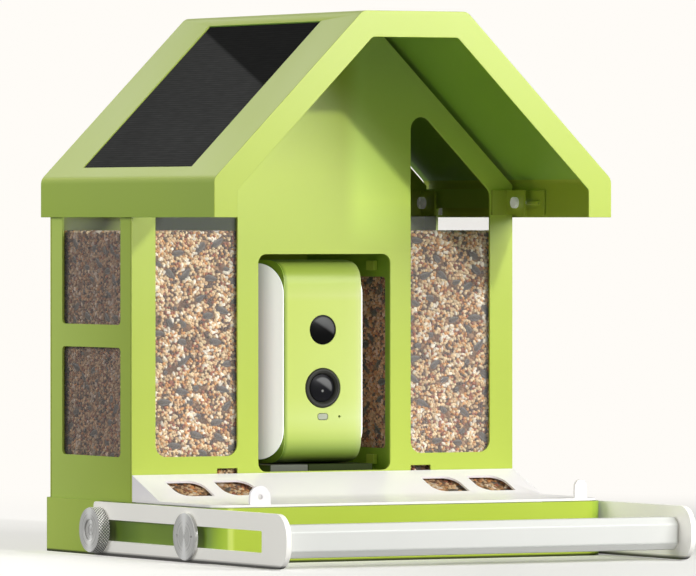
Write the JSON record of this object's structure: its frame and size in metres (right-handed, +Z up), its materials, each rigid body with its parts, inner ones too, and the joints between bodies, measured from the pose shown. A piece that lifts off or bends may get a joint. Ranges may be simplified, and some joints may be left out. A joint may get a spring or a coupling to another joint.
{
  "type": "smart bird feeder",
  "caption": "House-shaped bird feeder with a solar panel on the roof, two clear seed hoppers, a camera in the front window, a seed tray and a sliding perch.",
  "frame": {"origin": "on the ground under the middle of the front panel's front face", "axes": "+Z up, -Y is the front that the camera looks out of, +X is the right of the front view"},
  "size_m": [0.297, 0.329, 0.3333],
  "materials": {
    "green_paint": "satin",
    "white_plastic": "satin",
    "ivory_plastic": "satin",
    "grey_plastic": "matte",
    "clear_plastic": "gloss",
    "black_plastic": "matte",
    "black_glass": "gloss",
    "solar_cells": "satin",
    "turned_steel": "brushed",
    "seed_mix": "matte",
    "circuit_green": "matte",
    "battery_wrap": "satin",
    "camera_green": "satin"
  },
  "bodies": {
    "house": {"base_tray": "green_paint", "floor_plate": "green_paint", "front_panel": "green_paint", "back_panel": "green_paint", "left_side_panel": "green_paint", "right_side_panel": "green_paint", "left_divider": "green_paint", "right_divider": "green_paint", "bay_floor": "green_paint", "bay_ceiling": "green_paint", "left_top_clip": "green_paint", "left_bottom_clip": "green_paint", "right_top_clip": "green_paint", "right_bottom_clip": "green_paint", "camera_pad": "grey_plastic", "camera_shelf": "green_paint", "left_hopper": "clear_plastic", "right_hopper": "clear_plastic", "left_seed_fill": "seed_mix", "right_seed_fill": "seed_mix", "left_lock_bracket": "green_paint", "right_lock_bracket": "green_paint", "left_pivot_bracket": "green_paint", "right_pivot_bracket": "green_paint", "left_pivot_pin": "turned_steel", "right_pivot_pin": "turned_steel", "left_stud": "turned_steel", "right_stud": "turned_steel", "left_guide_screw": "turned_steel", "right_guide_screw": "turned_steel", "left_guide_nut": "turned_steel", "right_guide_nut": "turned_steel", "seed_trough": "white_plastic", "left_tray_seed": "seed_mix", "right_tray_seed": "seed_mix"},
    "roof": {"roof_shell": "green_paint", "solar_panel": "solar_cells", "solar_backing": "black_plastic", "left_keeper_plate": "green_paint", "right_keeper_plate": "green_paint", "left_pivot_plate": "turned_steel", "right_pivot_plate": "turned_steel"},
    "left_lock": {"left_lock_screw": "turned_steel"},
    "right_lock": {"right_lock_screw": "turned_steel"},
    "perch": {"left_perch_arm": "ivory_plastic", "right_perch_arm": "ivory_plastic", "perch_rail": "white_plastic"},
    "left_clamp": {"left_thumb_nut": "turned_steel"},
    "right_clamp": {"right_thumb_nut": "turned_steel"},
    "tray_lid": {"tray_cover": "white_plastic"},
    "camera": {"camera_casing": "white_plastic", "camera_cover": "camera_green", "lens_ring": "black_plastic", "lens_barrel": "black_plastic", "lens_glass": "black_glass", "sensor_window": "black_glass", "status_window": "black_glass", "camera_board": "circuit_green", "camera_battery": "battery_wrap"}
  },
  "joints": [
    {"name": "roof_hinge", "type": "hinge", "parent": "house", "child": "roof", "pos_m": [0, 0.104, 0.21725], "axis": [-1, 0, 0], "range_deg": [0, 100]},
    {"name": "left_lock_turn", "type": "hinge", "parent": "house", "child": "left_lock", "pos_m": [-0.1305, -0.0146, 0.21725], "axis": [-1, 0, 0], "continuous": true},
    {"name": "right_lock_turn", "type": "hinge", "parent": "house", "child": "right_lock", "pos_m": [0.1305, -0.0146, 0.21725], "axis": [1, 0, 0], "continuous": true},
    {"name": "perch_slide", "type": "slide", "parent": "house", "child": "perch", "axis": [0, 1, 0], "range_m": [0, 0.065]},
    {"name": "left_clamp_turn", "type": "hinge", "parent": "house", "child": "left_clamp", "pos_m": [-0.142, 0.02995, 0.01605], "axis": [-1, 0, 0], "continuous": true},
    {"name": "right_clamp_turn", "type": "hinge", "parent": "house", "child": "right_clamp", "pos_m": [0.142, 0.02995, 0.01605], "axis": [1, 0, 0], "continuous": true},
    {"name": "tray_slide", "type": "slide", "parent": "house", "child": "tray_lid", "axis": [0, -1, 0], "range_m": [0, 0.09]},
    {"name": "camera_slide", "type": "slide", "parent": "house", "child": "camera", "axis": [0, -1, 0], "range_m": [0, 0.1]}
  ]
}
